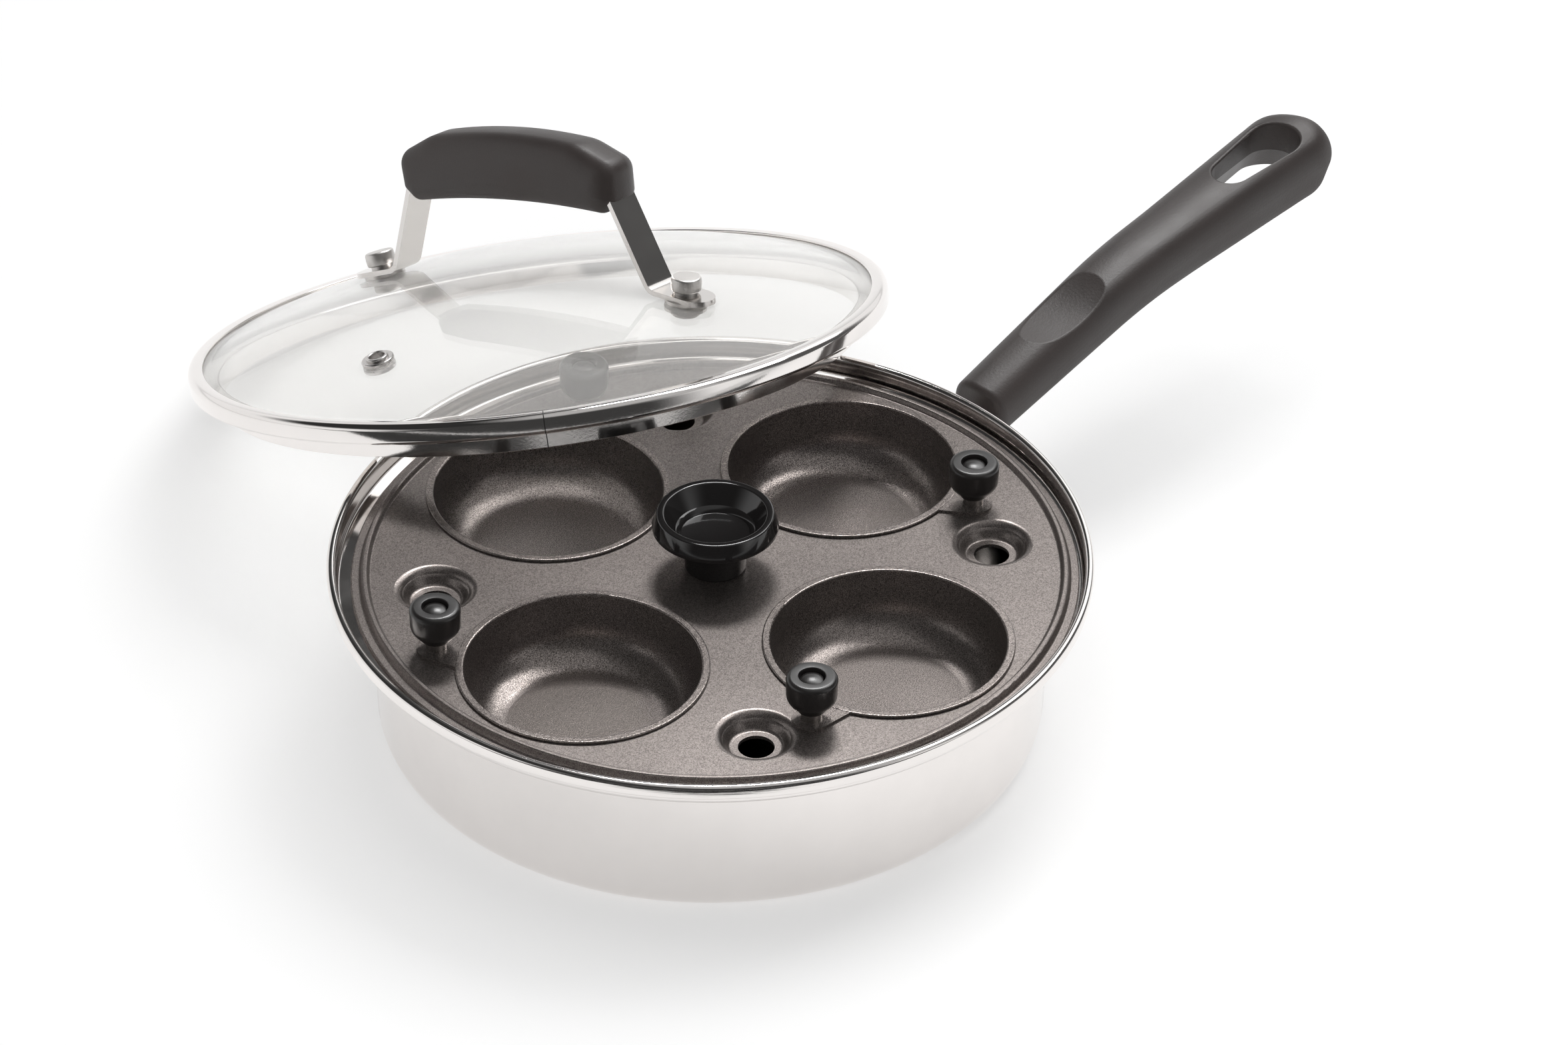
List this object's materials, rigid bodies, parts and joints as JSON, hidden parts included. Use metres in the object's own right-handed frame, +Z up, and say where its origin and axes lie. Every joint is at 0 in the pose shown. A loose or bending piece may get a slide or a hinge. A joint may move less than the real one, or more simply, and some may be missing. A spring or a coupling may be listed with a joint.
{
  "type": "egg poacher pan",
  "caption": "Polished steel egg poacher pan with a long black handle, lift-out tray with removable cups and a glass lid leaning open on its rim.",
  "frame": {"origin": "centre of the pan's flat base", "axes": "+Z up along the pan's axis, +X out along the pan handle"},
  "size_m": [0.3622, 0.329, 0.1041],
  "materials": {
    "polished_steel": "bright polished stainless steel",
    "satin_steel": "satin stainless steel",
    "fastener_steel": "turned steel",
    "dark_screw": "blackened button head",
    "nonstick_coating": "speckled warm grey non-stick coating, satin",
    "gloss_phenolic": "glossy black phenolic",
    "matt_phenolic": "fine matt black phenolic",
    "textured_phenolic": "black phenolic with a fine grain",
    "clear_glass": "clear tempered glass"
  },
  "bodies": {
    "pan": {"pan_body": "polished_steel", "pan_handle_bracket": "satin_steel", "pan_handle": "textured_phenolic", "pan_handle_washer": "fastener_steel", "pan_handle_screw": "fastener_steel"},
    "tray": {"poacher_tray": "nonstick_coating", "tray_knob": "gloss_phenolic", "tray_knob_washer": "fastener_steel", "tray_knob_screw": "fastener_steel"},
    "back_right_cup": {"cup_back_right": "nonstick_coating", "cup_knob_back_right": "matt_phenolic", "cup_collar_back_right": "fastener_steel", "cup_screw_back_right": "dark_screw"},
    "back_left_cup": {"cup_back_left": "nonstick_coating", "cup_knob_back_left": "matt_phenolic", "cup_collar_back_left": "fastener_steel", "cup_screw_back_left": "dark_screw"},
    "front_left_cup": {"cup_front_left": "nonstick_coating", "cup_knob_front_left": "matt_phenolic", "cup_collar_front_left": "fastener_steel", "cup_screw_front_left": "dark_screw"},
    "front_right_cup": {"cup_front_right": "nonstick_coating", "cup_knob_front_right": "matt_phenolic", "cup_collar_front_right": "fastener_steel", "cup_screw_front_right": "dark_screw"},
    "lid": {"lid_glass": "clear_glass", "lid_rim_band": "polished_steel", "steam_vent": "satin_steel", "lid_handle_strap": "polished_steel", "lid_handle_grip": "textured_phenolic", "lid_handle_screws": "fastener_steel", "lid_handle_nuts": "fastener_steel", "lid_upper_washers": "fastener_steel", "lid_under_washers": "fastener_steel"}
  },
  "joints": [
    {"name": "tray_lift", "type": "slide", "parent": "pan", "child": "tray", "axis": [0, 0, 1], "range_m": [0, 0.08]},
    {"name": "back_right_cup_lift", "type": "slide", "parent": "tray", "child": "back_right_cup", "axis": [0, 0, 1], "range_m": [0, 0.007]},
    {"name": "back_left_cup_lift", "type": "slide", "parent": "tray", "child": "back_left_cup", "axis": [0, 0, 1], "range_m": [0, 0.003]},
    {"name": "front_left_cup_lift", "type": "slide", "parent": "tray", "child": "front_left_cup", "axis": [0, 0, 1], "range_m": [0, 0.06]},
    {"name": "front_right_cup_lift", "type": "slide", "parent": "tray", "child": "front_right_cup", "axis": [0, 0, 1], "range_m": [0, 0.06]},
    {"name": "lid_lift", "type": "slide", "parent": "tray", "child": "lid", "axis": [0, 0, 1], "range_m": [0, 0.15]}
  ]
}
